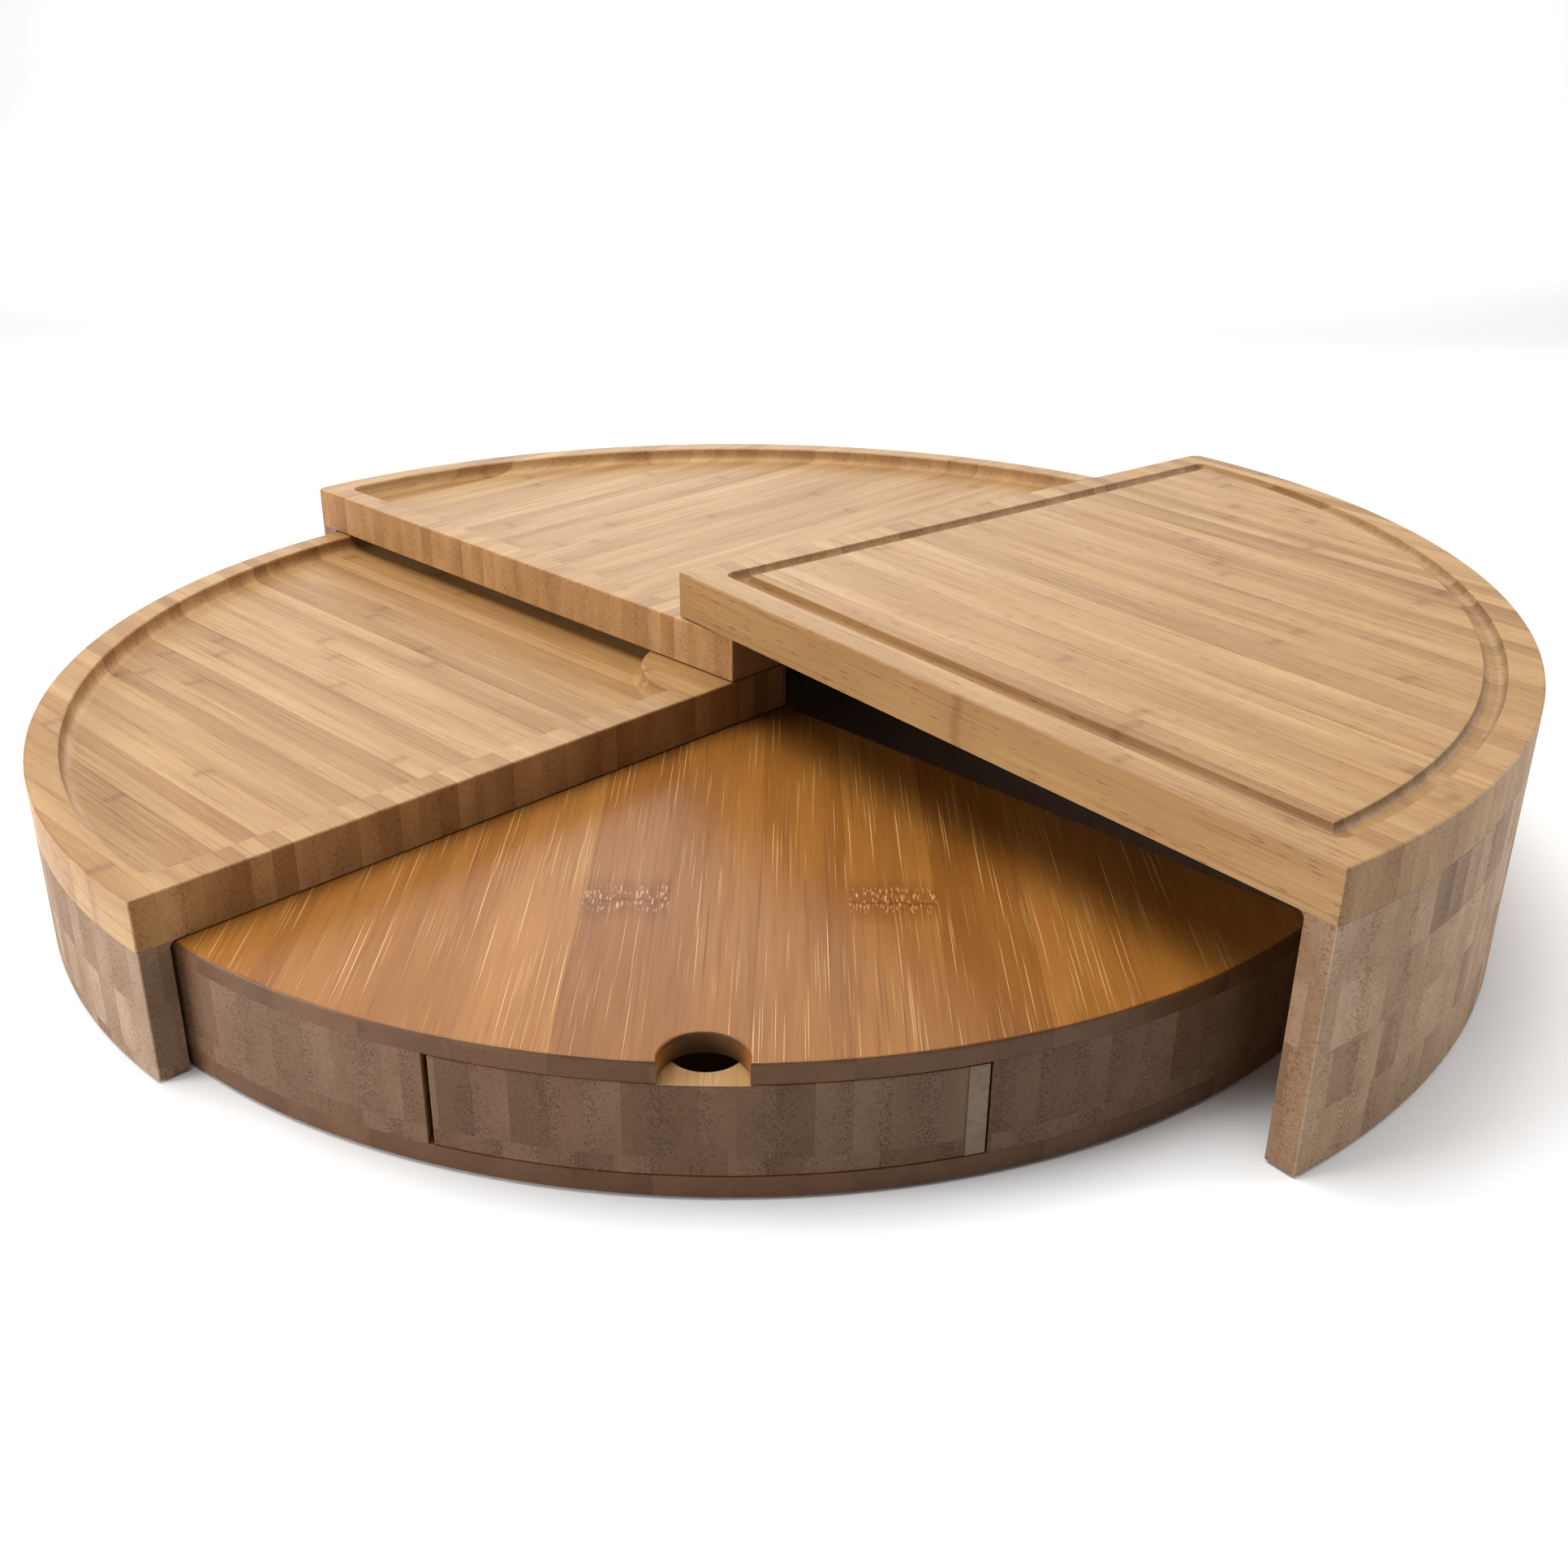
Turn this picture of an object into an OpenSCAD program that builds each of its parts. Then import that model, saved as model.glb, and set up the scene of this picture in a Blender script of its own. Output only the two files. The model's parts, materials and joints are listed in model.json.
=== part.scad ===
// Swing-out bamboo serving board.
// Four quarter-round levels turn about one upright pivot: a base with a drawer, two recessed trays
// and a cutting board. Each level above the base carries a curved skirt of glued staves that reaches
// down to the table outside the level below it, so that the levels nest when they are swung together.
// Millimetres, +Z up. The origin is on the table, at the centre of the opened board's footprint.
// The drawer opens towards -Y.

/* [Levels] */
// Radius of the base's curved front
base_r = 224; // [212:1:224]
// Radius of the left tray's curved edge
left_r = 235; // [235:1:237]
// Radius of the back tray's curved edge
back_r = 249; // [247:1:249]
// Radius of the cutting board's curved edge
board_r = 260; // [260:1:262]
// Distance from the pivot to a level's straight edges
pivot_inset = 13.5; // [12:0.5:16]
// Thickness of each upper level's plate
plate_t = 15.8; // [15:0.2:18]
// Gap between one level and the next
level_gap = 0.5; // [0.4:0.1:1]
// Room between a curved skirt and the edge of the level below it
skirt_play = 1.6; // [1.4:0.1:2.4]
// Gap between a skirt and the table
skirt_gap = 0.5; // [0.3:0.1:1]
// Number of staves glued side by side in a skirt
stave_count = 10; // [9:1:12]

/* [Opening] */
// Direction that the left tray points in
left_angle = 181; // [150:1:210]
// Direction that the back tray points in
back_angle = 91; // [60:1:120]
// Direction that the cutting board points in
board_angle = -6.7; // [-8:0.1:30]

/* [Trays and cutting board] */
// Width of a tray's rim along its straight edges
rim_w = 11.2; // [9:0.2:13]
// Width of a tray's rim along its curved edge
arc_rim_w = 10.4; // [9:0.2:13]
// Depth of a tray's recess
recess_depth = 5.6; // [4.6:0.2:8]
// Radius of the solid boss round the pivot in a tray
boss_r = 32.5; // [28:0.5:40]
// Width of the cutting board's juice groove
groove_w = 6.8; // [5:0.2:9]
// Depth of the juice groove
groove_depth = 3.2; // [2:0.2:3.6]

/* [Base] */
// Thickness of the base's bottom sheet
bottom_t = 6.4; // [5:0.2:8]
// Thickness of the base's top sheet
top_t = 6.2; // [5:0.2:8]
// Height of the core between the two sheets
core_h = 27.9; // [24:0.1:32]
// Height that the feet stand proud of the base
foot_proud = 0.8; // [0.6:0.1:2]
// Radius of a foot
foot_r = 6; // [4:0.5:8]

/* [Drawer] */
// Width of the drawer's opening in the core
opening_w = 142.8; // [130:0.2:150]
// Play between the drawer and the left side of its opening
play_left = 1.8; // [0.4:0.1:2]
// Play between the drawer and the right side of its opening
play_right = 0.6; // [0.4:0.1:2]
// Distance from the pivot to the back of the opening
opening_back = 62; // [56:1:70]
// Thickness of the drawer's front block at its middle
front_t = 34; // [30:1:40]
// Thickness of the drawer's sides and back
side_t = 5.6; // [5:0.2:8]
// Height of the drawer's sides and back
side_h = 22; // [18:0.5:25]
// Thickness of the drawer's floor
floor_t = 4; // [3:0.5:6]
// Width of the upright edge strip at the right end of the drawer's front
strip_w = 5.4; // [4:0.2:8]
// Radius of the thumb notch in the base's top sheet
notch_r = 11.5; // [10:0.5:14]
// Radius of the finger hole in the drawer's front
finger_r = 9.8; // [8:0.2:11]
// Depth of the finger hole
finger_depth = 20; // [12:1:22]

/* [Pivot] */
// Radius of the pivot bolt
bolt_r = 4; // [3:0.5:5]
// Radius of the bolt's head
head_r = 8; // [7:0.5:9]
// Height of the bolt's head
head_h = 2.4; // [2:0.1:3]
// Radius of the spacer washers
washer_r = 12; // [10:0.5:16]
// Radius of the threaded insert in the cutting board
insert_r = 6.5; // [6:0.1:8]
// Length of the threaded insert
insert_h = 9; // [7:0.5:9]

/* [Hidden] */

$fn = 96;
eps = 1;                                    // overrun of a cutting solid past the face it cuts
running_fit = 0.08;                         // radial play of the bolt in its bores
glue_line = 0.1;                            // thickness of the glue between two staves
bore_r = bolt_r + running_fit;
head_play = 1;                              // play round the bolt's head and its washer
head_washer_t = 0.8;
washer_play = 0.05;                         // play above a spacer washer
foot_sunk = 1.6;                            // depth of a foot's pocket
foot_spots = [[-118, -140], [118, -140], [-22, -30], [22, -30]];
drawer_play = 0.4;                          // play under and over the drawer
drawer_back_play = 1;                       // play behind the closed drawer
notch_inset = 2.3;                          // distance of the notch's centre inside the curved edge
finger_inset = 16;                          // distance of the finger hole's centre inside the curved edge
insert_end_play = 0.5;                      // length of insert past the bolt's end

pivot_x = (left_r - board_r) / 2;
pivot_y = (base_r - back_r) / 2;
base_angle = -90;

core_z = foot_proud + bottom_t;
top_sheet_z = core_z + core_h;
base_top = top_sheet_z + top_t;
left_z = base_top + level_gap;
back_z = left_z + plate_t + level_gap;
board_z = back_z + plate_t + level_gap;

drawer_z = core_z + drawer_play;
drawer_h = core_h - 2 * drawer_play;
drawer_x0 = -opening_w / 2 + play_left;
drawer_x1 = opening_w / 2 - play_right;
front_x1 = drawer_x1 - strip_w;
front_y1 = front_t - base_r;
drawer_y1 = -opening_back - drawer_back_play;

bamboo = "burlywood";
carbonised = "peru";
end_grain = "tan";

// A quarter disc that points along +X: two straight edges at right angles, inset behind the pivot,
// and an arc round the pivot.
module quarter(r, inset) {
    intersection() {
        circle(r = r, $fn = 180);
        rotate(-45) translate([-inset, -inset]) square(r + inset);
    }
}

// Stands a level at its height and points it in its direction.
module level(angle, z) {
    translate([pivot_x, pivot_y, z]) rotate([0, 0, angle]) children();
}

// Stands a piece of the base or drawer at its height, with the pivot at x = 0, y = 0.
module at_base(z) {
    translate([pivot_x, pivot_y, z]) children();
}

module bore(h) {
    translate([0, 0, -eps]) cylinder(r = bore_r, h = h + 2 * eps);
}

module base_slab(h) {
    rotate([0, 0, base_angle]) linear_extrude(h) quarter(base_r, pivot_inset);
}

module spacer_washer() {
    difference() {
        cylinder(r = washer_r, h = level_gap - washer_play);
        bore(level_gap);
    }
}

// A box from x0 to x1 and y0 to y1, cut to the base's curved front.
module block_to_arc(x0, x1, y1, h) {
    intersection() {
        translate([x0, -base_r - eps, 0]) cube([x1 - x0, base_r + eps + y1, h]);
        base_slab(h);
    }
}

// ---- base ----

module base_bottom_sheet() {
    color(carbonised) at_base(foot_proud) difference() {
        base_slab(bottom_t);
        bore(bottom_t);
        translate([0, 0, -eps]) cylinder(r = head_r + head_play, h = head_h + head_washer_t + eps);
        for (spot = foot_spots)
            translate([spot[0], spot[1], -eps]) cylinder(r = foot_r, h = foot_sunk + eps);
    }
}

module base_left_block() {
    color(end_grain) at_base(core_z) block_to_arc(-base_r, -opening_w / 2, 0, core_h);
}

module base_right_block() {
    color(end_grain) at_base(core_z) block_to_arc(opening_w / 2, base_r, 0, core_h);
}

module base_apex_block() {
    color(end_grain) at_base(core_z) difference() {
        intersection() {
            base_slab(core_h);
            translate([-opening_w / 2, -opening_back, 0]) cube([opening_w, base_r, core_h]);
        }
        bore(core_h);
    }
}

module base_top_sheet() {
    color(carbonised) at_base(top_sheet_z) difference() {
        base_slab(top_t);
        bore(top_t);
        translate([0, notch_inset - base_r, -eps]) {
            cylinder(r = notch_r, h = top_t + 2 * eps);
            translate([-notch_r, -2 * notch_r, 0]) cube([2 * notch_r, 2 * notch_r, top_t + 2 * eps]);
        }
    }
}

module base_feet() {
    color("dimgray") at_base(0)
        for (spot = foot_spots)
            translate([spot[0], spot[1], 0]) cylinder(r = foot_r, h = foot_proud + foot_sunk);
}

module base_washer() {
    color("white") at_base(base_top) spacer_washer();
}

module pivot_head_washer() {
    color("silver") at_base(foot_proud + head_h) difference() {
        cylinder(r = head_r, h = head_washer_t);
        bore(head_washer_t);
    }
}

// ---- upper levels ----

module tray(r) {
    difference() {
        linear_extrude(plate_t) quarter(r, pivot_inset);
        translate([0, 0, plate_t - recess_depth]) linear_extrude(recess_depth + eps) difference() {
            quarter(r - arc_rim_w, pivot_inset - rim_w);
            circle(r = boss_r);
        }
        bore(plate_t);
    }
}

// Staves side by side along the arc, parted by their glue lines.
module skirt(r, r_below, plate_z) {
    half_span = 45 + asin(pivot_inset / r);
    translate([0, 0, skirt_gap]) linear_extrude(plate_z - skirt_gap) difference() {
        quarter(r, pivot_inset);
        circle(r = r_below + skirt_play, $fn = 180);
        for (i = [1 : stave_count - 1])
            rotate(half_span * (2 * i / stave_count - 1))
                translate([0, -glue_line / 2]) square([r + eps, glue_line]);
    }
}

module left_tray_plate() {
    color(bamboo) level(left_angle, left_z) tray(left_r);
}

module left_tray_skirt() {
    color(end_grain) level(left_angle, 0) skirt(left_r, base_r, left_z);
}

module left_tray_washer() {
    color("white") level(left_angle, left_z + plate_t) spacer_washer();
}

module back_tray_plate() {
    color(bamboo) level(back_angle, back_z) tray(back_r);
}

module back_tray_skirt() {
    color(end_grain) level(back_angle, 0) skirt(back_r, left_r, back_z);
}

module back_tray_washer() {
    color("white") level(back_angle, back_z + plate_t) spacer_washer();
}

module cutting_board_plate() {
    color(bamboo) level(board_angle, board_z) difference() {
        linear_extrude(plate_t) quarter(board_r, pivot_inset);
        translate([0, 0, plate_t - groove_depth]) linear_extrude(groove_depth + eps) difference() {
            quarter(board_r - arc_rim_w, pivot_inset - rim_w);
            quarter(board_r - arc_rim_w - groove_w, pivot_inset - rim_w - groove_w);
        }
        translate([0, 0, -eps]) cylinder(r = insert_r, h = insert_h + eps);
    }
}

module cutting_board_skirt() {
    color(end_grain) level(board_angle, 0) skirt(board_r, back_r, board_z);
}

// ---- pivot, fixed to the cutting board ----

module pivot_insert() {
    color("goldenrod") level(board_angle, board_z) difference() {
        cylinder(r = insert_r, h = insert_h);
        translate([0, 0, -eps]) cylinder(r = bolt_r, h = insert_h + 2 * eps);
    }
}

module pivot_bolt() {
    color("silver") level(board_angle, foot_proud) {
        cylinder(r = head_r, h = head_h);
        cylinder(r = bolt_r, h = board_z + insert_h - insert_end_play - foot_proud);
    }
}

// ---- drawer ----

module drawer_front() {
    color(end_grain) at_base(drawer_z) difference() {
        block_to_arc(drawer_x0, front_x1, front_y1, drawer_h);
        translate([0, finger_inset - base_r, drawer_h - finger_depth])
            cylinder(r = finger_r, h = finger_depth + eps);
    }
}

module drawer_front_strip() {
    color(bamboo) at_base(drawer_z) block_to_arc(front_x1, drawer_x1, front_y1, drawer_h);
}

module drawer_side(x) {
    at_base(drawer_z + floor_t) translate([x, front_y1, 0])
        cube([side_t, drawer_y1 - front_y1, side_h - floor_t]);
}

module drawer_left_side() {
    color(bamboo) drawer_side(drawer_x0);
}

module drawer_right_side() {
    color(bamboo) drawer_side(drawer_x1 - side_t);
}

module drawer_back() {
    color(bamboo) at_base(drawer_z + floor_t)
        translate([drawer_x0 + side_t, drawer_y1 - side_t, 0])
            cube([drawer_x1 - drawer_x0 - 2 * side_t, side_t, side_h - floor_t]);
}

module drawer_floor() {
    color(bamboo) at_base(drawer_z) translate([drawer_x0, front_y1, 0])
        cube([drawer_x1 - drawer_x0, drawer_y1 - front_y1, floor_t]);
}

base_bottom_sheet();
base_left_block();
base_right_block();
base_apex_block();
base_top_sheet();
base_feet();
base_washer();
pivot_head_washer();
left_tray_plate();
left_tray_skirt();
left_tray_washer();
back_tray_plate();
back_tray_skirt();
back_tray_washer();
cutting_board_plate();
cutting_board_skirt();
pivot_insert();
pivot_bolt();
drawer_front();
drawer_front_strip();
drawer_left_side();
drawer_right_side();
drawer_back();
drawer_floor();
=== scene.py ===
import json
import math

import bmesh
import bpy
from mathutils import Matrix, Vector


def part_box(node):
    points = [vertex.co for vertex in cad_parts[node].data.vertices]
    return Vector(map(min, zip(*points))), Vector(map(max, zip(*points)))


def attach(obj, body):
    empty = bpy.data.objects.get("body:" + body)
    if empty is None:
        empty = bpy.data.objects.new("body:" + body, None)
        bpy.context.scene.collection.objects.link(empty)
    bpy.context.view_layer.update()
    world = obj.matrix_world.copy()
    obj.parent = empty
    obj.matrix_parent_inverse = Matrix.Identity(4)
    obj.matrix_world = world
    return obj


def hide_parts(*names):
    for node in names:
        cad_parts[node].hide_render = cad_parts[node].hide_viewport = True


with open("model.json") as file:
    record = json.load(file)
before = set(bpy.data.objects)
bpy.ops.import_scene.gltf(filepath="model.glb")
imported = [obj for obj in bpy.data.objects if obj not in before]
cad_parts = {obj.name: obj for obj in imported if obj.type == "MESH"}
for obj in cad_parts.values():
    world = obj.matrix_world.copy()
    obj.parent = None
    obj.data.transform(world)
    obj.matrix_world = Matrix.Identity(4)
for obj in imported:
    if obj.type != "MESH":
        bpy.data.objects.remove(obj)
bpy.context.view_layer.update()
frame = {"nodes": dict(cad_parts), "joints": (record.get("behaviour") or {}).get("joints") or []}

scene = bpy.context.scene
mm = 0.001
tiny = 1e-6              # metres within which two heights count as the same

# the upright pivot that every level turns about
pivot = Vector(next(j["pos_m"] for j in frame["joints"] if j["name"] == "left_tray_swing"))

board = {
    "inset": 13.5 * mm,          # straight edges lie this far behind the pivot
    "skirtPlay": 1.6 * mm,       # room between a skirt and the level below
    "arcSteps": 360,             # sides of a full circle of a level's radius
    "sharpCorner": 0.7 * mm,
    "roundCorner": 4.5 * mm,
    "edgeEase": 1.2 * mm,        # rounding of the handled edges
    "jointEase": 0.12 * mm,      # rounding along glued joints
}
levels = {
    # the way each level points, in degrees, and its corners at its clockwise and anticlockwise ends
    "left": {"body": "left_tray", "direction": 181.0, "corners": ("roundCorner", "sharpCorner")},
    "back": {"body": "back_tray", "direction": 91.0, "corners": ("roundCorner", "roundCorner")},
    "board": {"body": "cutting_board", "direction": -6.7, "corners": ("sharpCorner", "roundCorner")},
}
baseDirection = -90.0


def reach(node):
    # greatest distance of a node from the pivot
    return max((v.co.xy - pivot.xy).length for v in frame["nodes"][node].data.vertices)


def heights(node):
    low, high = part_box(node)
    return low.z, high.z


# shaping tools

def sideNormal(direction, side):
    # points into the level from its straight edge on that side, -1 clockwise and +1 anticlockwise
    angle = math.radians(direction - 45 * side)
    return Vector((math.cos(angle), math.sin(angle), 0))


def cutFlat(bm, point, normal):
    # keeps what lies ahead of the plane
    everything = bm.verts[:] + bm.edges[:] + bm.faces[:]
    bmesh.ops.bisect_plane(bm, geom=everything, dist=1e-7, plane_co=point, plane_no=-normal, clear_outer=True)


def vertsOf(result):
    return [item for item in result["geom"] if isinstance(item, bmesh.types.BMVert)]


def onlyFace(bm):
    bm.faces.ensure_lookup_table()
    face = bm.faces[0]
    face.normal_update()
    return face


def quarterOutline(bm, radius, inset, direction, z, corners=(0, 0, 0), clear=0.0, cuts=()):
    # a flat quarter disc, as one face; corners are the radii at its -45 side, its +45 side and its apex
    bmesh.ops.create_circle(bm, cap_ends=True, segments=board["arcSteps"], radius=radius,
                            matrix=Matrix.Translation((pivot.x, pivot.y, z)))
    planes = [(pivot + sideNormal(direction, side) * -inset, sideNormal(direction, side)) for side in (-1, 1)]
    for point, normal in planes + list(cuts):
        cutFlat(bm, point, normal)
    along = math.sqrt(radius ** 2 - inset ** 2)
    spots = [pivot - sideNormal(direction, side) * inset + sideNormal(direction, -side) * along for side in (-1, 1)]
    spots.append(pivot - (sideNormal(direction, 1) + sideNormal(direction, -1)) * inset)
    for spot, cornerRadius in zip(spots, corners):
        corner = min(bm.verts, key=lambda v: (v.co.xy - spot.xy).length)
        if (corner.co.xy - spot.xy).length > 0.2 * mm:
            continue
        room = max(cornerRadius * 1.15, clear)
        near = [v for v in bm.verts if v is not corner and (v.co - corner.co).length < room]
        bmesh.ops.dissolve_verts(bm, verts=near)
        if cornerRadius > 0:
            bmesh.ops.bevel(bm, geom=[corner], offset=cornerRadius, offset_type="OFFSET", segments=7, profile=0.5,
                            affect="VERTICES", material=-1, clamp_overlap=False)
    return onlyFace(bm)


def faceOutward(bm):
    bmesh.ops.recalc_face_normals(bm, faces=bm.faces[:])
    if bm.calc_volume(signed=True) < 0:
        bmesh.ops.reverse_faces(bm, faces=bm.faces[:])


def raiseFace(bm, face, height):
    # turns a flat outline into a solid of that height
    lifted = bmesh.ops.extrude_face_region(bm, geom=[face])
    bmesh.ops.translate(bm, verts=vertsOf(lifted), vec=(0, 0, height))
    faceOutward(bm)


def wearLayer(bm):
    return bm.faces.layers.float.get("wear") or bm.faces.layers.float.new("wear")


def easeEdges(bm, edges, radius, segments=3, wear=1.0):
    layer = wearLayer(bm)
    eased = bmesh.ops.bevel(bm, geom=edges, offset=radius, offset_type="OFFSET", segments=segments, profile=0.5,
                            affect="EDGES", material=-1, clamp_overlap=True)
    for face in eased["faces"]:
        face[layer] = wear


def edgesAt(bm, z):
    return [e for e in bm.edges if all(abs(v.co.z - z) < tiny for v in e.verts)]


def crossCut(x, way):
    # an upright plane square to X that keeps what lies on one side of it
    return Vector((x, 0, 0)), Vector((way, 0, 0))


def slab(radius, direction, low, high, corners, easeTop, easeBottom, cuts=()):
    bm = bmesh.new()
    raiseFace(bm, quarterOutline(bm, radius, board["inset"], direction, low, corners, cuts=cuts), high - low)
    easeEdges(bm, edgesAt(bm, high), easeTop)
    easeEdges(bm, edgesAt(bm, low), easeBottom, segments=2)
    return bm


def wallProfile(depth, ease, fillet, steps=4):
    # (distance out from the wall, depth) down a recess: rounded edge, wall, fillet at the floor
    quarterTurn = [math.pi / 2 * k / steps for k in range(steps + 1)]
    upper = [(ease * (1 - math.sin(t)), ease * (1 - math.cos(t))) for t in quarterTurn]
    lower = [(-fillet * (1 - math.cos(t)), depth - fillet + fillet * math.sin(t)) for t in quarterTurn]
    return upper, lower


def overrun(first, second, share):
    # carries a chord on past its first point
    return tuple(a + (a - b) * share for a, b in zip(first, second))


def recessBlock(outline, top, profile):
    # the body of air in a recess: outline(bm, growth, z) draws it, profile gives (growth, depth) going down
    bm = bmesh.new()
    layer = wearLayer(bm)
    face = outline(bm, profile[0][0], top - profile[0][1])
    lid = bmesh.ops.extrude_face_region(bm, geom=[face])
    bmesh.ops.translate(bm, verts=vertsOf(lid), vec=(0, 0, 0.5 * mm))
    faceOutward(bm)
    floor = min(bm.faces, key=lambda f: f.calc_center_median().z)
    for number, (here, there) in enumerate(zip(profile, profile[1:])):
        ring = bmesh.ops.inset_region(bm, faces=[floor], thickness=here[0] - there[0], depth=0, use_even_offset=True)
        bmesh.ops.translate(bm, verts=floor.verts[:], vec=(0, 0, here[1] - there[1]))
        for side in ring["faces"]:
            side[layer] = 1.0 if number < 4 else 0.0
    faceOutward(bm)
    return bm


def turned(profile, segments=64):
    # a closed solid of revolution about the pivot's upright line from (radius, height) points
    bm = bmesh.new()
    points = [bm.verts.new((pivot.x + radius, pivot.y, height)) for radius, height in profile]
    edges = [bm.edges.new(pair) for pair in zip(points, points[1:] + points[:1])
             if not (pair[0].co.x - pivot.x < 1e-7 and pair[1].co.x - pivot.x < 1e-7)]
    bmesh.ops.spin(bm, geom=points + edges, axis=(0, 0, 1), cent=pivot, angle=2 * math.pi, steps=segments,
                   use_merge=True, use_duplicate=False)
    bmesh.ops.remove_doubles(bm, verts=bm.verts[:], dist=1e-6)
    faceOutward(bm)
    return bm


def asObject(bm, name):
    mesh = bpy.data.meshes.new(name)
    bm.to_mesh(mesh)
    bm.free()
    made = bpy.data.objects.new(name, mesh)
    scene.collection.objects.link(made)
    return made


def mergeFlat(bm):
    # welds a cut shape and joins its coplanar triangles into whole faces
    bmesh.ops.triangulate(bm, faces=[f for f in bm.faces if len(f.verts) > 4])
    bmesh.ops.remove_doubles(bm, verts=bm.verts[:], dist=2e-6)
    bmesh.ops.dissolve_degenerate(bm, edges=bm.edges[:], dist=1e-6)
    bmesh.ops.dissolve_limit(bm, angle_limit=0.002, use_dissolve_boundaries=False, verts=bm.verts[:],
                             edges=bm.edges[:], delimit=set())


def carve(block, tool):
    # cuts the tool out of the block and gives the result as a new bmesh
    blockObject, toolObject = asObject(block, "carveBlock"), asObject(tool, "carveTool")
    cut = blockObject.modifiers.new("cut", "BOOLEAN")
    cut.operation, cut.solver, cut.object = "DIFFERENCE", "MANIFOLD", toolObject
    bpy.context.view_layer.update()
    carved = blockObject.evaluated_get(bpy.context.evaluated_depsgraph_get())
    result = bmesh.new()
    result.from_mesh(carved.to_mesh())
    carved.to_mesh_clear()
    for spent in (blockObject, toolObject):
        mesh = spent.data
        bpy.data.objects.remove(spent)
        bpy.data.meshes.remove(mesh)
    mergeFlat(result)
    return result


def place(bm, name, body, nodes, slotName, material):
    # hands a finished shape over as a piece of the object
    wearLayer(bm)
    piece = asObject(bm, name)
    piece.data.polygons.foreach_set("use_smooth", [True] * len(piece.data.polygons))
    piece.data.set_sharp_from_angle(angle=math.radians(38))
    piece.data.materials.append(material)
    weighted = piece.modifiers.new("weightedNormals", "WEIGHTED_NORMAL")
    weighted.keep_sharp = True
    weighted.weight = 100
    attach(piece, body)
    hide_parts(*nodes)
    return piece


def boreTool(radius, low, high):
    return turned([(0, low), (radius, low), (radius, high), (0, high)], 48)


# materials

class Wiring:
    # short hand for putting nodes together
    def __init__(self, name):
        self.material = bpy.data.materials.new(name)
        self.material.use_nodes = True
        self.nodes, self.links = self.material.node_tree.nodes, self.material.node_tree.links
        self.shader = self.nodes["Principled BSDF"]
        self.coordinates = self.nodes.new("ShaderNodeTexCoord")

    def feed(self, socket, value):
        if isinstance(value, bpy.types.NodeSocket):
            self.links.new(value, socket)
        else:
            socket.default_value = value

    def math(self, operation, a, b=0.0):
        node = self.nodes.new("ShaderNodeMath")
        node.operation = operation
        self.feed(node.inputs[0], a)
        self.feed(node.inputs[1], b)
        return node.outputs[0]

    def times(self, a, b):
        return self.math("MULTIPLY", a, b)

    def plus(self, a, b):
        return self.math("ADD", a, b)

    def minus(self, a, b):
        return self.math("SUBTRACT", a, b)

    def size(self, a):
        return self.math("ABSOLUTE", a)

    def span(self, value, low, high, toLow=0.0, toHigh=1.0):
        node = self.nodes.new("ShaderNodeMapRange")
        node.interpolation_type = "SMOOTHSTEP"
        for socket, given in zip(node.inputs, (value, low, high, toLow, toHigh)):
            self.feed(socket, given)
        return node.outputs[0]

    def join(self, x, y, z):
        node = self.nodes.new("ShaderNodeCombineXYZ")
        for socket, value in zip(node.inputs, (x, y, z)):
            self.feed(socket, value)
        return node.outputs[0]

    def split(self, vector):
        node = self.nodes.new("ShaderNodeSeparateXYZ")
        self.feed(node.inputs[0], vector)
        return node.outputs

    def vector(self, operation, a, b):
        node = self.nodes.new("ShaderNodeVectorMath")
        node.operation = operation
        self.feed(node.inputs[0], a)
        self.feed(node.inputs[1], b)
        return node.outputs["Value"] if operation == "DOT_PRODUCT" else node.outputs[0]

    def noise(self, vector, scale=1.0, detail=2.0, roughness=0.5):
        node = self.nodes.new("ShaderNodeTexNoise")
        self.feed(node.inputs["Vector"], vector)
        node.inputs["Scale"].default_value = scale
        node.inputs["Detail"].default_value = detail
        node.inputs["Roughness"].default_value = roughness
        return node.outputs[0]

    def cells(self, vector, randomness=1.0):
        node = self.nodes.new("ShaderNodeTexVoronoi")
        self.feed(node.inputs["Vector"], vector)
        node.inputs["Scale"].default_value = 1.0
        node.inputs["Randomness"].default_value = randomness
        return node.outputs["Distance"], node.outputs["Color"]

    def chance(self, vector):
        node = self.nodes.new("ShaderNodeTexWhiteNoise")
        node.noise_dimensions = "3D"
        self.feed(node.inputs["Vector"], vector)
        return node.outputs["Value"], node.outputs["Color"]

    def ramp(self, value, stops):
        node = self.nodes.new("ShaderNodeValToRGB")
        self.feed(node.inputs[0], value)
        marks = node.color_ramp.elements
        while len(marks) < len(stops):
            marks.new(0.5)
        for mark, (position, colour) in zip(marks, stops):
            mark.position, mark.color = position, (*colour, 1)
        return node.outputs[0]

    def mix(self, share, a, b, blend="MIX"):
        node = self.nodes.new("ShaderNodeMix")
        node.data_type, node.blend_type = "RGBA", blend
        for socket, value in ((node.inputs[0], share), (node.inputs[6], a), (node.inputs[7], b)):
            self.feed(socket, value if not isinstance(value, tuple) or len(value) == 4 else (*value, 1))
        return node.outputs[2]

    def stain(self, share, colour, tint):
        # deepens or lightens a colour by a share of a tint
        return self.mix(share, colour, self.mix(1.0, colour, tint, "MULTIPLY"))

    def bump(self, height, strength, distance):
        node = self.nodes.new("ShaderNodeBump")
        node.inputs["Strength"].default_value = strength
        node.inputs["Distance"].default_value = distance
        self.feed(node.inputs["Height"], height)
        self.links.new(node.outputs[0], self.shader.inputs["Normal"])


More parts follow.
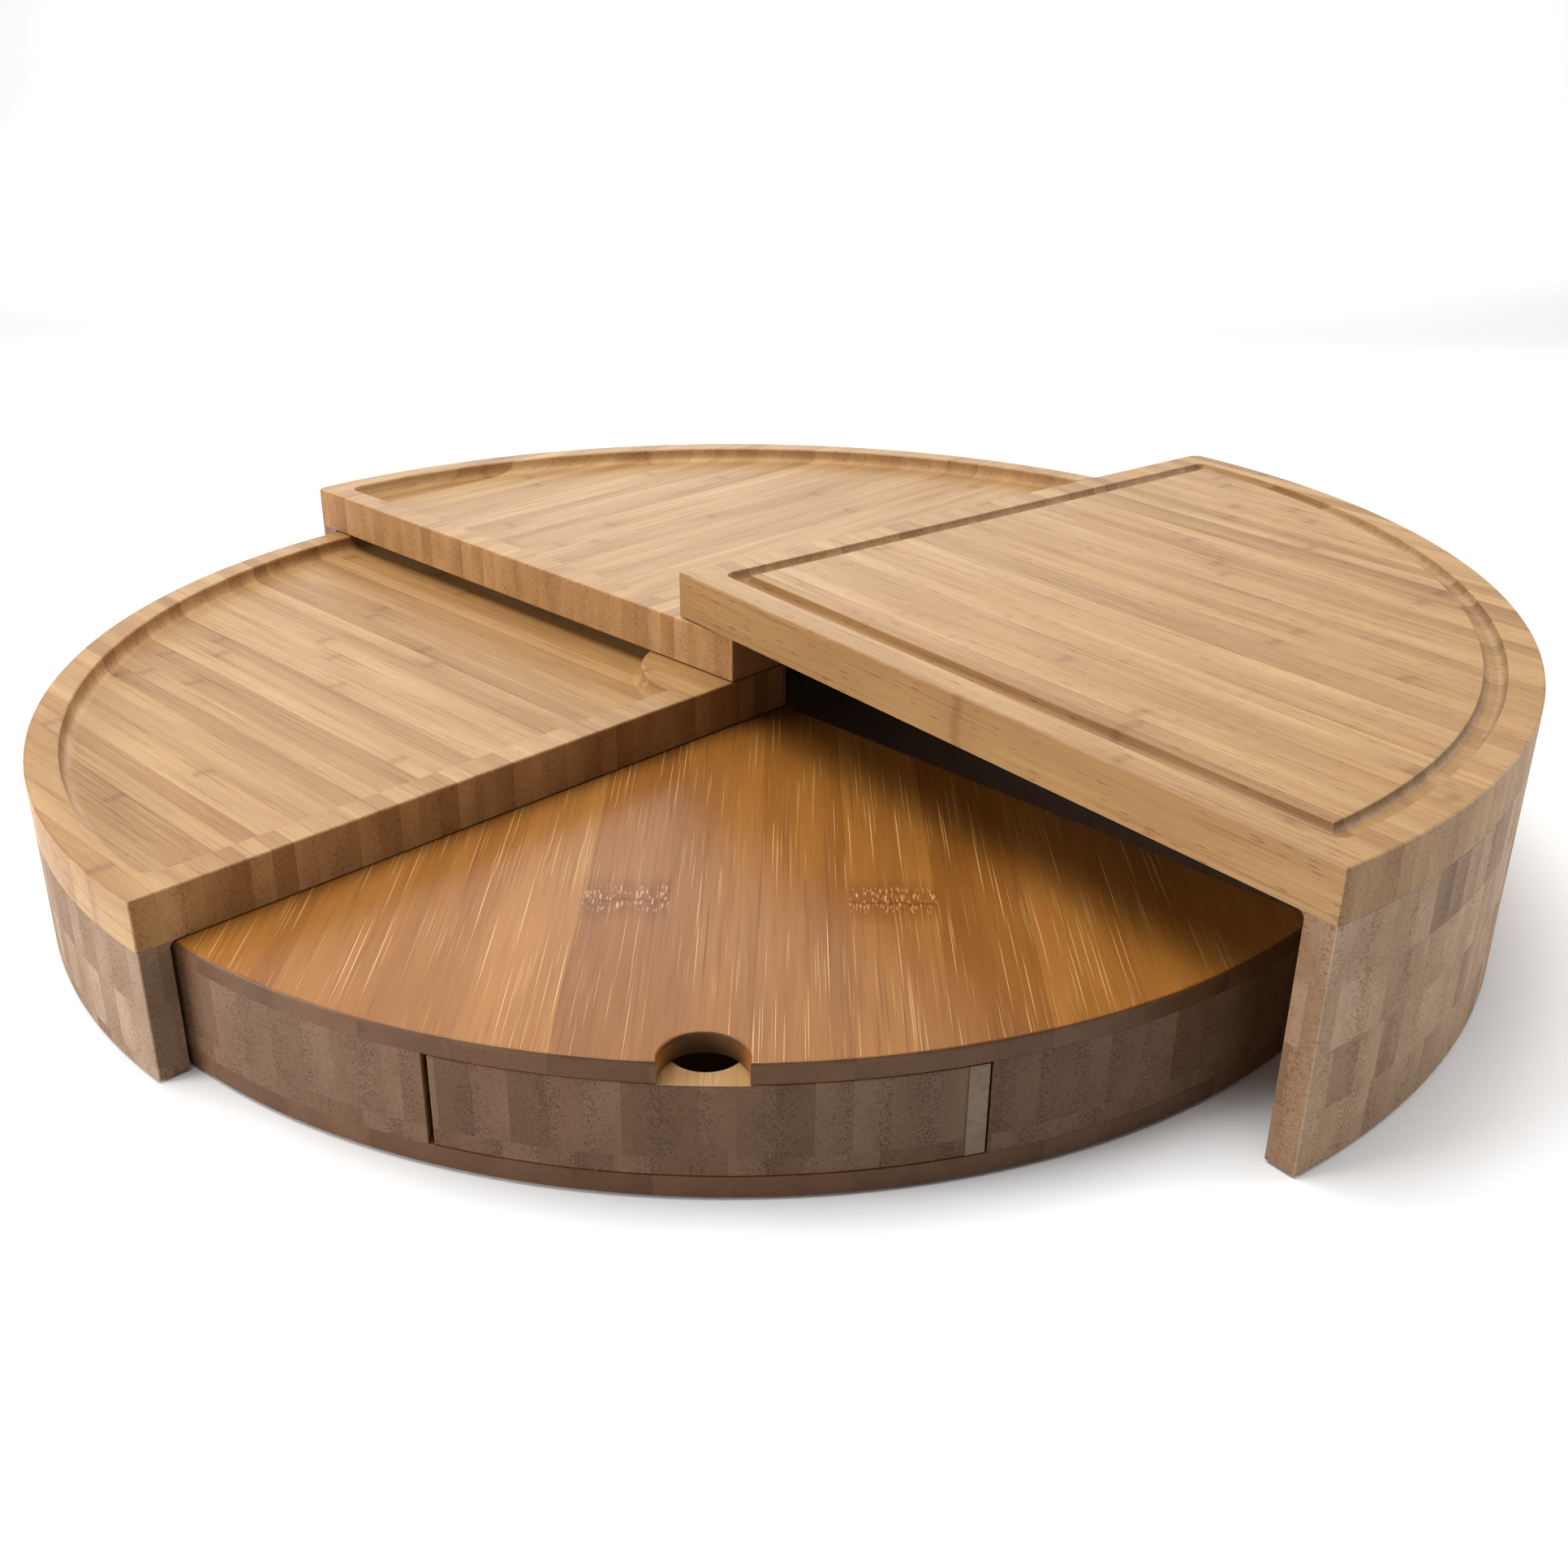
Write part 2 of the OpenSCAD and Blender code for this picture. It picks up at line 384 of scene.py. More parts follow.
bambooLook = {
    "grain": 0.0,            # direction of the grain, in degrees
    "strip": 7.0,            # width of a strip, in mm
    "layer": 400.0,          # height of a layer of strips, in mm
    "layerStart": 0.0,
    "tones": ((0.62, 0.40, 0.20), (0.70, 0.47, 0.26), (0.52, 0.32, 0.15), (0.66, 0.43, 0.23)),
    "endTint": (0.72, 0.62, 0.56),   # what the colour is multiplied by where the fibres are cut across
    "cutTint": (1.0, 1.0, 1.0),      # and again, as painted shade, where a curved block is cut off straight
    "fibre": 0.85,
    "pale": 0.25,
    "pores": 0.6,
    "poreSize": 1.3,         # pores per mm
    "flecks": 0.3,
    "threads": 0.35,         # long pale and dark fibres lying open in the flat faces
    "threadColour": (0.55, 0.37, 0.18),
    "darkThread": (0.27, 0.135, 0.045),
    "darkShare": 1.1,
    "nodeEvery": 330.0,      # distance between a strip's growth nodes, in mm
    "nodeWidth": 3.2,
    "nodeDepth": 0.42,
    "nodeBands": (),         # (across, along) middles of wide nodes on flat-laid strips, in mm
    "offset": None,          # where a strip starts, or None for a chance start in each layer
    "roughness": 0.46,
    "specular": 0.4,
    "coat": 0.0,
    "coatRoughness": 0.3,
    "bump": 0.12,
    "seed": 1.0,
}
cells = {
    # cells of each pattern per mm, along the grain and across it
    "fibres": (0.016, 0.85),
    "flecks": (0.12, 1.5),
    "wear": (0.12, 0.12),
    "pores": 0.03,           # along only
    "wobble": 0.55,          # across only
    "drift": 0.012,          # along only
    "dashes": ((0.19, 1.05), (0.30, 1.55)),
}
stains = {
    # what the wood's colour is multiplied by
    "patch": (0.74, 0.66, 0.56),
    "darkFibre": (0.66, 0.54, 0.40),
    "paleFibre": (1.22, 1.24, 1.28),
    "pore": (0.50, 0.38, 0.28),
    "halo": (1.18, 1.16, 1.12),
    "fleck": (0.48, 0.34, 0.22),
    "nodeShadow": (0.66, 0.52, 0.40),
    "nodeLine": (0.52, 0.38, 0.26),
    "glue": (0.55, 0.42, 0.30),
    "worn": (0.80, 0.66, 0.50),
    "bandPatch": (0.70, 0.56, 0.42),
    "crease": (0.50, 0.36, 0.24),
}


def stretched(w, place, lengthwise, crosswise):
    along, across, up = place
    return w.join(w.times(along, lengthwise), w.times(across, crosswise), w.times(up, crosswise))


def bambooMaterial(name, **changes):
    look = {**bambooLook, **changes}
    w = Wiring(name)
    turn = w.nodes.new("ShaderNodeMapping")
    turn.vector_type = "TEXTURE"
    turn.inputs["Location"].default_value = pivot
    turn.inputs["Rotation"].default_value = (0, 0, math.radians(look["grain"]))
    turn.inputs["Scale"].default_value = (mm, mm, mm)
    w.links.new(w.coordinates.outputs["Object"], turn.inputs["Vector"])
    place = along, across, up = tuple(w.split(turn.outputs[0]))
    seed = look["seed"]

    # which strip a point lies in
    layer = w.math("FLOOR", w.math("DIVIDE", w.minus(up, look["layerStart"]), look["layer"]))
    shift, _ = w.chance(w.join(layer, seed, 0.37))
    drift = w.times(w.minus(w.noise(w.join(w.times(along, cells["drift"]), seed, 0.0)), 0.5), 1.2)
    start = w.times(shift, look["strip"]) if look["offset"] is None else -look["offset"]
    lane = w.math("DIVIDE", w.plus(w.plus(across, drift), start), look["strip"])
    strip = w.math("FLOOR", lane)
    within = w.math("FRACT", lane)
    chance, chances = w.chance(w.join(strip, layer, seed))
    chanceA, chanceB, _ = w.split(chances)
    ownPlace = w.vector("MULTIPLY", chances, (90.0, 90.0, 90.0))

    # the strip's own tone, and slow changes along it
    stops = [(k / (len(look["tones"]) - 1), tone) for k, tone in enumerate(look["tones"])]
    colour = w.ramp(chance, stops)
    slow = w.join(w.times(along, 0.011), w.times(across, 0.09), w.times(up, 0.05))
    patches = w.noise(w.vector("ADD", slow, ownPlace), detail=3.0)
    colour = w.stain(w.span(patches, 0.30, 0.72, 0.0, 0.72), colour, stains["patch"])

    # fibres run the length of a strip, so they are lines on its sides and dots on its ends
    fibrePlace = w.vector("ADD", stretched(w, place, *cells["fibres"]), ownPlace)
    fibres = w.noise(fibrePlace, detail=5.0, roughness=0.72)
    colour = w.stain(w.times(w.span(fibres, 0.50, 0.72), look["fibre"]), colour, stains["darkFibre"])
    colour = w.stain(w.times(w.span(fibres, 0.46, 0.30), look["pale"]), colour, stains["paleFibre"])

    # how squarely the surface cuts the fibres
    normal = w.coordinates.outputs["Normal"]
    grainAngle = math.radians(look["grain"])
    facing = w.vector("DOT_PRODUCT", normal, (math.cos(grainAngle), math.sin(grainAngle), 0.0))
    endwise = w.span(w.size(facing), 0.18, 0.85)
    colour = w.stain(endwise, colour, look["endTint"])

    # painted shade: the straight-cut faces of a curved block are made darker than its curved outside
    fromPivot = w.vector("SUBTRACT", w.coordinates.outputs["Object"], tuple(pivot))
    outward = w.vector("NORMALIZE", fromPivot, (0.0, 0.0, 0.0))
    straight = w.span(w.size(w.vector("DOT_PRODUCT", outward, normal)), 0.25, 0.6, 1.0, 0.0)
    colour = w.stain(w.times(straight, endwise), colour, look["cutTint"])

    # fibre bundles crowd towards one side of each strip
    side = w.size(w.minus(within, w.math("ROUND", chanceB)))
    poreGrid = stretched(w, place, cells["pores"], look["poreSize"])
    poreDistance, _ = w.cells(w.vector("ADD", poreGrid, ownPlace), 0.85)
    poreReach = w.span(side, 0.0, 1.0, 0.12, 0.42)
    pore = w.span(poreDistance, w.times(poreReach, 0.6), w.times(poreReach, 1.35), 1.0, 0.0)
    halo = w.span(poreDistance, w.times(poreReach, 1.3), w.times(poreReach, 2.0), 1.0, 0.0)
    poreShare = w.times(pore, w.span(endwise, 0.0, 1.0, look["pores"] * 0.22, look["pores"]))
    haloShare = w.times(halo, w.span(endwise, 0.0, 1.0, 0.02, 0.18))
    colour = w.stain(haloShare, colour, stains["halo"])
    colour = w.stain(poreShare, colour, stains["pore"])
    colour = w.stain(w.times(side, 0.22), colour, stains["patch"])

    # short dark flecks where a fibre lies open on a side face
    fleckDistance, fleckChance = w.cells(w.vector("ADD", stretched(w, place, *cells["flecks"]), ownPlace))
    fleckPick = w.span(w.split(fleckChance)[0], 0.72, 0.80)
    fleck = w.times(w.span(fleckDistance, 0.16, 0.34, 1.0, 0.0), w.times(fleckPick, look["flecks"]))
    colour = w.stain(fleck, colour, stains["fleck"])

    # growth nodes
    ringPlace = w.plus(w.math("DIVIDE", along, look["nodeEvery"]), w.times(chanceA, 7.0))
    ringWave = w.join(w.times(across, cells["wobble"]), w.times(up, cells["wobble"]), 0.0)
    wobble = w.noise(w.vector("ADD", ringWave, ownPlace), detail=3.0)
    fromRing = w.times(w.minus(w.math("FRACT", ringPlace), 0.5), look["nodeEvery"])
    fromRing = w.plus(fromRing, w.times(w.minus(wobble, 0.5), look["nodeWidth"] * 1.6))
    ringLine = w.span(w.size(fromRing), look["nodeWidth"] * 0.12, look["nodeWidth"], 1.0, 0.0)
    ringShadow = w.span(w.size(fromRing), 0.0, look["nodeWidth"] * 6.0, 1.0, 0.0)
    colour = w.stain(w.times(ringShadow, look["nodeDepth"] * 0.55), colour, stains["nodeShadow"])
    colour = w.stain(w.times(ringLine, look["nodeDepth"]), colour, stains["nodeLine"])

    height = w.plus(w.times(fibres, 0.6), w.times(pore, -0.35))
    colour, height = openThreads(w, look, place, ownPlace, endwise, colour, height)
    for middle in look["nodeBands"]:
        colour, height = nodeBand(w, look, (along, across), middle, colour, height)

    # glue lines between strips
    fromSeam = w.times(w.minus(0.5, w.size(w.minus(within, 0.5))), look["strip"])
    colour = w.stain(w.span(fromSeam, 0.05, 0.22, 0.22, 0.0), colour, stains["glue"])

    # rubbed edges
    wearNode = w.nodes.new("ShaderNodeAttribute")
    wearNode.attribute_name = "wear"
    rubbing = w.noise(stretched(w, place, *cells["wear"]), detail=3.0)
    rubbed = w.times(wearNode.outputs["Fac"], w.span(rubbing, 0.35, 0.70, 0.15, 0.60))
    colour = w.stain(rubbed, colour, stains["worn"])

    w.links.new(colour, w.shader.inputs["Base Color"])
    satin = w.span(fibres, 0.3, 0.7, look["roughness"] - 0.05, look["roughness"] + 0.07)
    satin = w.plus(satin, w.times(endwise, 0.16))
    w.links.new(w.plus(satin, w.times(rubbed, -0.08)), w.shader.inputs["Roughness"])
    w.shader.inputs["Specular IOR Level"].default_value = look["specular"]
    w.shader.inputs["Coat Weight"].default_value = look["coat"]
    w.shader.inputs["Coat Roughness"].default_value = look["coatRoughness"]
    w.bump(height, look["bump"], 0.35 * mm)
    return w.material


def openThreads(w, look, place, ownPlace, endwise, colour, height):
    # long thin fibres, several layers of them, seen wherever a face runs along the grain
    lengthways = w.span(endwise, 0.0, 0.5, 1.0, 0.0)
    pale = look["threadColour"]
    # cells per mm along and across, reach within a cell, share, colour
    threads = ((0.0070, 1.05, 0.20, 1.0, pale), (0.0100, 1.60, 0.24, 0.85, pale),
               (0.0080, 0.75, 0.22, look["darkShare"], look["darkThread"]), (0.0180, 2.20, 0.27, 0.6, pale))
    for number, (lengthwise, crosswise, reachOut, share, tint) in enumerate(threads):
        grid = stretched(w, place, lengthwise, crosswise)
        distance, pick = w.cells(w.vector("ADD", grid, w.vector("ADD", ownPlace, (7.0 * number, 3.0, 5.0))))
        shown = w.span(w.split(pick)[0], 0.25, 0.75)
        line = w.times(w.span(distance, reachOut * 0.35, reachOut, 1.0, 0.0), shown)
        line = w.times(w.times(line, lengthways), look["threads"] * share)
        colour = w.mix(line, colour, tint)
        height = w.plus(height, w.times(line, 0.3))
    return colour, height


def nodeBand(w, look, place, middle, colour, height):
    # a wide growth node over one flat-laid strip: a browner patch with rows of short pale dashes and a crease
    along, across = place
    waves = w.noise(w.join(w.times(across, 0.30), middle[0], 0.0), detail=4.0)
    fromMiddle = w.plus(w.minus(along, middle[1]), w.times(w.minus(waves, 0.5), 5.0))
    sideways = w.size(w.minus(across, middle[0]))
    onStrip = w.span(sideways, look["strip"] * 0.485, look["strip"] * 0.505, 1.0, 0.0)
    brown = w.times(w.span(w.size(fromMiddle), 4.0, 16.0, 0.70, 0.0), onStrip)
    colour = w.stain(brown, colour, stains["bandPatch"])
    zone = w.times(w.span(w.size(fromMiddle), 4.5, 9.0, 1.0, 0.0), onStrip)
    for number, (lengthwise, crosswise) in enumerate(cells["dashes"]):
        distance, pick = w.cells(w.join(w.times(along, lengthwise), w.times(across, crosswise), 9.0 * number))
        dash = w.times(w.span(distance, 0.12, 0.42, 1.0, 0.0), w.span(w.split(pick)[0], 0.25, 0.45))
        dash = w.times(dash, zone)
        colour = w.mix(w.times(dash, 0.65), colour, look["threadColour"])
        height = w.plus(height, w.times(dash, 0.5))
    crease = w.times(w.span(w.size(w.minus(fromMiddle, 1.5)), 0.15, 1.1, 1.0, 0.0), onStrip)
    colour = w.stain(w.times(crease, 0.5), colour, stains["crease"])
    return colour, w.minus(height, w.times(crease, 0.6))


honey = ((0.372, 0.210, 0.075), (0.432, 0.262, 0.108), (0.400, 0.234, 0.090), (0.318, 0.168, 0.055),
         (0.450, 0.280, 0.120), (0.410, 0.242, 0.096))
blocks = ((0.320, 0.216, 0.130), (0.400, 0.282, 0.180), (0.240, 0.150, 0.086), (0.350, 0.238, 0.145),
          (0.425, 0.315, 0.215), (0.285, 0.185, 0.108))
amber = ((0.290, 0.112, 0.018), (0.336, 0.139, 0.026), (0.254, 0.094, 0.014), (0.352, 0.150, 0.031),
         (0.312, 0.126, 0.022), (0.272, 0.103, 0.016))
dusk = ((0.185, 0.124, 0.078), (0.225, 0.155, 0.100), (0.165, 0.108, 0.066))
paleThread = (0.54, 0.36, 0.17)
plateEnd = (0.93, 0.84, 0.76)
plateWood = {
    # the strips of a plate lie along its straight edge on the clockwise side
    key: bambooMaterial(name, grain=levels[key]["direction"] - 45, tones=honey, endTint=endTint, seed=seed,
                        threadColour=paleThread, flecks=flecks)
    for key, name, endTint, seed, flecks in (("left", "honeyBambooLeftTray", plateEnd, 3.0, 0.35),
                                             ("back", "honeyBambooBackTray", plateEnd, 11.0, 0.30),
                                             ("board", "honeyBambooCuttingBoard", (0.78, 0.78, 0.78), 23.0, 0.85))
}


def stackMaterial(key, name, seed, endTint):
    # upright curved blocks glued up from short strips with their cut ends outwards, from under the plate down
    top = round(heights(levels[key]["body"] + "_plate")[0] / mm, 1)
    # the cut-face colour below is painted shade on the skirts' straight-cut end faces
    return bambooMaterial(name, grain=levels[key]["direction"], strip=7.6, layer=18.5, layerStart=top, tones=blocks,
                          endTint=endTint, cutTint=(0.70, 0.60, 0.52), pores=0.7, roughness=0.58, seed=seed)


# painted shade: the three skirts are one wood, and the last numbers darken each copy by its own amount to even out how
# light falls on it, most on the left skirt
stackWood = {
    "left": stackMaterial("left", "endGrainLeftSkirt", 5.0, (0.78, 0.74, 0.74)),
    "back": stackMaterial("back", "endGrainBackSkirt", 6.0, (0.85, 0.82, 0.80)),
    "board": stackMaterial("board", "endGrainBoardSkirt", 7.0, (0.95, 0.90, 0.86)),
}
coreWood = bambooMaterial("endGrainCore", grain=baseDirection, strip=9.5, layer=22.4, layerStart=12.9, tones=honey,
                          endTint=(0.390, 0.360, 0.450), threadColour=paleThread, pores=0.9, roughness=0.52, seed=8.0)
sheetWood = bambooMaterial("amberBambooSheet", grain=baseDirection, strip=25.0, offset=-13.0, layer=60.0,
                           layerStart=-20.0, tones=amber, endTint=(0.42, 0.47, 0.95), fibre=0.6, pale=0.2, pores=0.3,
                           flecks=0.1, threads=0.95, threadColour=(0.66, 0.40, 0.16), darkThread=(0.14, 0.048, 0.008),
                           darkShare=0.75, nodeBands=((-25.6, 142.7), (49.8, 142.3)), nodeEvery=4000.0, nodeDepth=0.1,
                           roughness=0.36, specular=0.32, seed=14.0, coat=0.05, coatRoughness=0.25)
drawerWood = bambooMaterial("honeyBambooDrawer", grain=baseDirection, tones=honey, seed=31.0)
stripWood = bambooMaterial("duskyBambooEdgeStrip", grain=0.0, strip=6.0, tones=dusk, seed=33.0, threads=0.1)


def plainMaterial(name, colour, roughness, metallic=0.0, mottling=0.12, grit=900.0, bumpStrength=0.15, ringed=False):
    # moulded, turned or plated stuff: mottled colour, uneven gloss and a fine texture
    w = Wiring(name)
    place = w.coordinates.outputs["Object"]
    cloud = w.noise(place, scale=160.0, detail=4.0)
    grain = w.noise(place, scale=grit, detail=3.0)
    dark = tuple(c * (1 - mottling) for c in colour)
    light = tuple(min(1.0, c * (1 + mottling)) for c in colour)
    w.links.new(w.ramp(cloud, ((0.3, dark), (0.7, light))), w.shader.inputs["Base Color"])
    w.links.new(w.span(grain, 0.3, 0.7, roughness - 0.07, roughness + 0.09), w.shader.inputs["Roughness"])
    w.shader.inputs["Metallic"].default_value = metallic
    height = grain
    if ringed:
        # turning marks round the pivot
        x, y, _ = w.split(w.vector("SUBTRACT", place, tuple(pivot)))
        radius = w.math("SQRT", w.plus(w.times(x, x), w.times(y, y)))
        height = w.plus(w.math("SINE", w.times(radius, 24000.0)), grain)
    w.bump(height, bumpStrength, 0.05 * mm)
    return w.material


rubber = plainMaterial("footRubber", (0.035, 0.034, 0.033), 0.72, mottling=0.25, grit=1400.0, bumpStrength=0.35)
nylon = plainMaterial("washerNylon", (0.78, 0.76, 0.70), 0.42, mottling=0.05)
steel = plainMaterial("zincPlatedSteel", (0.60, 0.61, 0.63), 0.30, metallic=1.0, mottling=0.08, ringed=True)
brass = plainMaterial("machinedBrass", (0.72, 0.53, 0.24), 0.28, metallic=1.0, mottling=0.10, ringed=True)
print("materials made")


# trays and cutting board

tray = {
    "rim": 11.2 * mm,
    "arcRim": 10.4 * mm,
    "depth": 5.6 * mm,
    "boss": 32.5 * mm,
    "ease": 0.8 * mm,
    "fillet": 3.6 * mm,
    "recessCorner": 5.2 * mm,
    "bore": 4.3 * mm,
}
groove = {
    "width": 6.8 * mm,
    "depth": 3.2 * mm,
    "ease": 0.45 * mm,
    "outerFillet": 2.7 * mm,
    "innerFillet": 2.4 * mm,
    "corner": 4.0 * mm,
    "insertPocket": 6.55 * mm,   # radius of the pocket under the board
}


def cornerRadii(level):
    return [board[corner] for corner in level["corners"]] + [board["sharpCorner"]]


def recessProfile(depth, ease, fillet):
    upper, lower = wallProfile(depth, ease, fillet)
    return [overrun(upper[0], upper[1], 1.0)] + upper[1:] + lower


def makeTray(key, node, name):
    level = levels[key]
    low, high = heights(node)
    radius = reach(node)
    direction = level["direction"]
    block = slab(radius, direction, low, high, cornerRadii(level), board["edgeEase"], board["jointEase"])

    def outline(bm, growth, z):
        corner = tray["recessCorner"] + growth
        return quarterOutline(bm, radius - tray["arcRim"] + growth, board["inset"] - tray["rim"] + growth, direction,
                              z, (corner, corner, 0))

    profile = recessProfile(tray["depth"], tray["ease"], tray["fillet"])
    basin = recessBlock(outline, high, profile)
    upper, lower = wallProfile(tray["depth"], tray["ease"], tray["fillet"])
    rise = overrun(upper[0], upper[1], 3.0)
    sink = overrun(lower[-1], lower[-2], 0.6)
    bossLine = [(tray["boss"] - out, high - down) for out, down in [rise] + upper[1:] + lower[:-1] + [sink]]
    foot = bossLine[-1][1] - 2 * mm
    bossTool = turned([(0, foot), (bossLine[-1][0], foot)] + bossLine[::-1] + [(0, bossLine[0][1])], 128)
    block = carve(block, carve(basin, bossTool))
    block = carve(block, boreTool(tray["bore"], low - mm, high + mm))
    return place(block, name, level["body"], [node], "side_pressed_bamboo", plateWood[key])


skirt = {
    "ease": 3.0 * mm,        # rounding of its foot
    "cove": 2.0 * mm,        # hollow rounding inside, under the plate
    "coveTurns": (22.5, 45.0, 67.5),
    "steps": 720,
}


def makeSkirt(key, node, name, below):
    level = levels[key]
    outer = reach(node)
    inner = reach(below) + board["skirtPlay"]
    low, high = heights(node)
    cove = skirt["cove"]
    bm = bmesh.new()
    raiseFace(bm, quarterOutline(bm, outer, board["inset"], level["direction"], low, cornerRadii(level)), high - low)
    coveLine = [(inner - cove * (1 - math.cos(t)), high - cove + cove * math.sin(t))
                for t in (math.radians(turn) for turn in skirt["coveTurns"])]
    hollow = turned([(0, low - mm), (inner, low - mm), (inner, high - cove)] + coveLine
                    + [(inner - cove * 1.05, high + 0.1 * mm), (0, high + 0.1 * mm)], skirt["steps"])
    bm = carve(bm, hollow)
    easeEdges(bm, edgesAt(bm, low), skirt["ease"], segments=5, wear=0.25)
    return place(bm, name, level["body"], [node], "end_grain_bamboo", stackWood[key])


def makeCuttingBoard():
    level = levels["board"]
    node = "cutting_board_plate"
    low, high = heights(node)
    radius = reach(node)
    direction = level["direction"]
    block = slab(radius, direction, low, high, cornerRadii(level), board["edgeEase"], board["jointEase"])

    def outerOutline(bm, growth, z):
        corner = groove["corner"] + growth
        return quarterOutline(bm, radius - tray["arcRim"] + growth, board["inset"] - tray["rim"] + growth, direction,
                              z, (corner, corner, corner))

    trench = recessBlock(outerOutline, high, recessProfile(groove["depth"], groove["ease"], groove["outerFillet"]))

    # the island inside the groove, built from the groove's floor upwards
    upper, lower = wallProfile(groove["depth"], groove["ease"], groove["innerFillet"])
    sink = overrun(lower[-1], lower[-2], 0.6)
    rise = overrun(upper[0], upper[1], 3.0)
    line = [(-out, down) for out, down in [sink] + lower[:-1][::-1] + upper[1:][::-1] + [rise]]
    island = bmesh.new()
    islandRadius = radius - tray["arcRim"] - groove["width"]
    islandInset = board["inset"] - tray["rim"] - groove["width"]
    face = quarterOutline(island, islandRadius + line[0][0], islandInset + line[0][0], direction,
                          high - line[0][1] - mm, clear=7 * mm)
    raiseFace(island, face, mm)
    roof = max(island.faces, key=lambda f: f.calc_center_median().z)
    for here, there in zip(line, line[1:]):
        bmesh.ops.inset_region(island, faces=[roof], thickness=here[0] - there[0], depth=0, use_even_offset=True)
        bmesh.ops.translate(island, verts=roof.verts[:], vec=(0, 0, here[1] - there[1]))
    faceOutward(island)
    block = carve(block, carve(trench, island))
    pocketLow, pocketHigh = heights("pivot_insert")
    block = carve(block, boreTool(groove["insertPocket"], pocketLow - mm, pocketHigh))
    return place(block, "cuttingBoardPlate", level["body"], [node], "side_pressed_bamboo", plateWood["board"])


makeTray("left", "left_tray_plate", "leftTrayPlate")
makeTray("back", "back_tray_plate", "backTrayPlate")
makeCuttingBoard()
print("trays and cutting board made")
makeSkirt("left", "left_tray_skirt", "leftTraySkirt", "base_top_sheet")
makeSkirt("back", "back_tray_skirt", "backTraySkirt", "left_tray_plate")
makeSkirt("board", "cutting_board_skirt", "cuttingBoardSkirt", "back_tray_plate")
print("skirts made")


# base

base = {
    "topEase": 0.7 * mm,
    "bottomEase": 0.8 * mm,
    "bore": 4.3 * mm,
    "headSeat": 9 * mm,          # radius of the sunk seat of the bolt's head
    "notch": 11.5 * mm,
    "notchInset": 2.3 * mm,
    "notchEase": 0.6 * mm,
    "notchRun": 25 * mm,         # how far the notch's tool runs out over the front
    "footRadius": 6 * mm,
    "footGap": 0.15 * mm,
    "footSpan": 13 * mm,         # points closer than this belong to one foot
    "footEase": 0.35 * mm,
    "footRim": 1.4 * mm,
    "footHollow": 0.15 * mm,
}
baseRadius = reach("base_top_sheet")
baseCorners = (board["sharpCorner"],) * 3


def footPlaces():
    points = [v.co.xy - pivot.xy for v in frame["nodes"]["base_feet"].data.vertices]
    spots = []
    for point in points:
        if not any((point - centre).length < base["footSpan"] for centre in spots):
            near = [p for p in points if (point - p).length < base["footSpan"]]
            spots.append(sum(near, Vector((0, 0))) / len(near))
    return [tuple(pivot.xy + spot) for spot in spots]


def footTools(radius, low, high):
    # four upright cylinders where the feet are, as one bmesh
    bm = bmesh.new()
    for x, y in footPlaces():
        bmesh.ops.create_cone(bm, cap_ends=True, cap_tris=False, segments=48, radius1=radius, radius2=radius,
                              depth=high - low, matrix=Matrix.Translation((x, y, (low + high) / 2)))
    return bm


def makeBottomSheet():
    low, high = heights("base_bottom_sheet")
    bm = slab(baseRadius, baseDirection, low, high, baseCorners, board["jointEase"], base["bottomEase"])
    bm = carve(bm, boreTool(base["headSeat"], low - mm, heights("pivot_head_washer")[1]))
    bm = carve(bm, boreTool(base["bore"], low, high + mm))
    bm = carve(bm, footTools(base["footRadius"] + base["footGap"], low - mm, heights("base_feet")[1]))
    return place(bm, "baseBottomSheet", "base", ["base_bottom_sheet"], "plain_bamboo", sheetWood)


def makeCoreBlock(name, node, cuts, bored=False):
    low, high = heights(node)
    bm = slab(baseRadius, baseDirection, low, high, baseCorners, board["jointEase"], board["jointEase"], cuts)
    if bored:
        bm = carve(bm, boreTool(base["bore"], low - mm, high + mm))
    return place(bm, name, "base", [node], "end_grain_bamboo", coreWood)


def notchOutline(bm, growth, z):
    # a half disc with straight sides that run out over the curved front
    centre = Vector((pivot.x, pivot.y + base["notchInset"] - baseRadius, z))
    bmesh.ops.create_circle(bm, cap_ends=True, segments=64, radius=base["notch"] + growth,
                            matrix=Matrix.Translation(centre))
    cutFlat(bm, centre, Vector((0, 1, 0)))
    flat = [e for e in bm.edges if all(abs(v.co.y - centre.y) < tiny for v in e.verts)]
    swept = bmesh.ops.extrude_edge_only(bm, edges=flat)
    bmesh.ops.translate(bm, verts=vertsOf(swept), vec=(0, -base["notchRun"], 0))
    bmesh.ops.dissolve_faces(bm, faces=bm.faces[:], use_verts=True)
    return onlyFace(bm)


def makeTopSheet():
    low, high = heights("base_top_sheet")
    bm = slab(baseRadius, baseDirection, low, high, baseCorners, base["topEase"], board["jointEase"])
    thickness = high - low
    upper, _ = wallProfile(thickness, base["notchEase"], 0)
    profile = [overrun(upper[0], upper[1], 1.0)] + upper[1:] + [(0.0001 * mm, thickness + mm)]
    bm = carve(bm, recessBlock(notchOutline, high, profile))
    bm = carve(bm, boreTool(base["bore"], low - mm, high + mm))
    return place(bm, "baseTopSheet", "base", ["base_top_sheet"], "plain_bamboo", sheetWood)


def makeFeet():
    low, high = heights("base_feet")
    bm = footTools(base["footRadius"], low, high)
    easeEdges(bm, edgesAt(bm, low), base["footEase"])
    pads = [f for f in bm.faces if abs(f.calc_center_median().z - low) < tiny]
    bmesh.ops.inset_individual(bm, faces=pads, thickness=base["footRim"], depth=0, use_even_offset=True)
    bmesh.ops.translate(bm, verts=list({v for f in pads for v in f.verts}), vec=(0, 0, base["footHollow"]))
    return place(bm, "baseFeet", "base", ["base_feet"], "foot_rubber", rubber)


